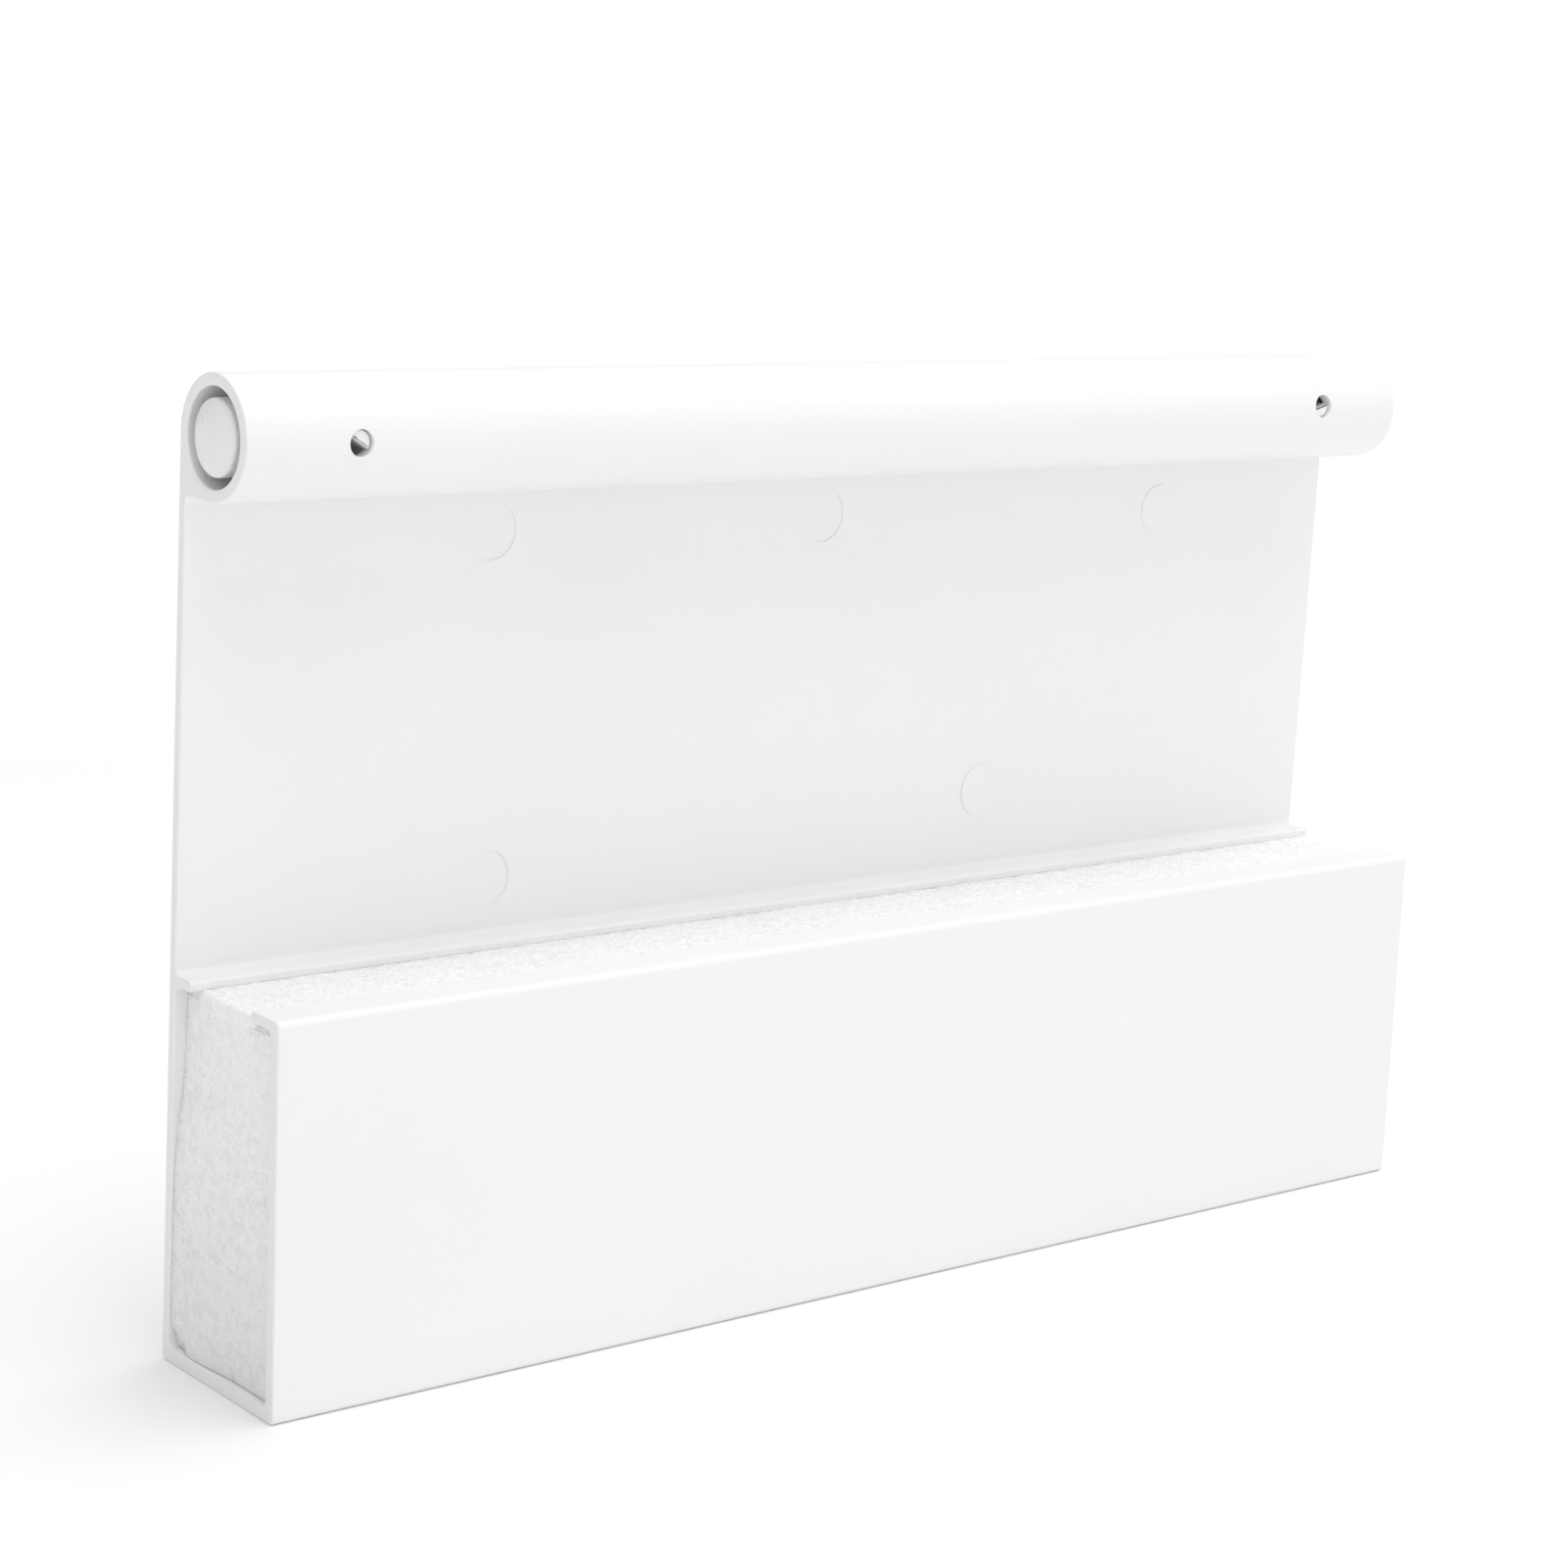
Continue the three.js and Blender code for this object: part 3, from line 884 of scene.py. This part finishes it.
def makeRoom():
    world = bpy.data.worlds.new("whiteRoom")
    bpy.context.scene.world = world
    world.use_nodes = True
    nodes = world.node_tree.nodes
    links = world.node_tree.links
    sky = nodes["Background"]
    sky.inputs["Color"].default_value = (1, 1, 1, 1)
    direction = nodes.new("ShaderNodeTexCoord").outputs["Generated"]
    parts = nodes.new("ShaderNodeSeparateXYZ")
    links.new(direction, parts.inputs["Vector"])
    total = None
    for axis, (way, strength) in studio["roomSides"].items():
        added = spread(nodes, links, parts.outputs[axis], 0, way, 0, strength)
        if total is None:
            total = added
            continue
        summed = nodes.new("ShaderNodeMath")
        summed.operation = "ADD"
        links.new(total, summed.inputs[0])
        links.new(added, summed.inputs[1])
        total = summed.outputs["Value"]
    plain = nodes.new("ShaderNodeMath")
    plain.operation = "ADD"
    links.new(total, plain.inputs[0])
    plain.inputs[1].default_value = studio["room"]
    # the backdrop itself is plain white, and only the light that it gives has a direction
    rays = nodes.new("ShaderNodeLightPath")
    choose = nodes.new("ShaderNodeMix")
    choose.data_type = "FLOAT"
    links.new(rays.outputs["Is Camera Ray"], choose.inputs["Factor"])
    links.new(plain.outputs["Value"], choose.inputs["A"])
    choose.inputs["B"].default_value = studio["backdrop"]
    links.new(choose.outputs["Result"], sky.inputs["Strength"])


def makeCamera():
    azimuth, elevation, roll = (math.radians(shot[key]) for key in ("azimuth", "elevation", "roll"))
    back = Vector((math.sin(azimuth) * math.cos(elevation), -math.cos(azimuth) * math.cos(elevation),
                   math.sin(elevation)))
    right = (-back).cross(Vector((0, 0, 1))).normalized()
    up = right.cross(-back)
    axisX = math.cos(roll) * right + math.sin(roll) * up
    axisY = -math.sin(roll) * right + math.cos(roll) * up
    data = bpy.data.cameras.new("camera")
    data.lens = shot["lens"]
    data.sensor_width = shot["sensor"]
    data.clip_start, data.clip_end = shot["clip"]
    camera = bpy.data.objects.new("camera", data)
    turn = Matrix((axisX, axisY, back)).transposed().to_4x4()
    camera.matrix_world = Matrix.Translation(shot["place"]) @ turn
    bpy.context.scene.collection.objects.link(camera)
    bpy.context.scene.camera = camera


makeFloor()
makeLights()
makeRoom()
makeCamera()
bpy.context.scene.view_settings.view_transform = "Standard"
print("floor, light and camera set")
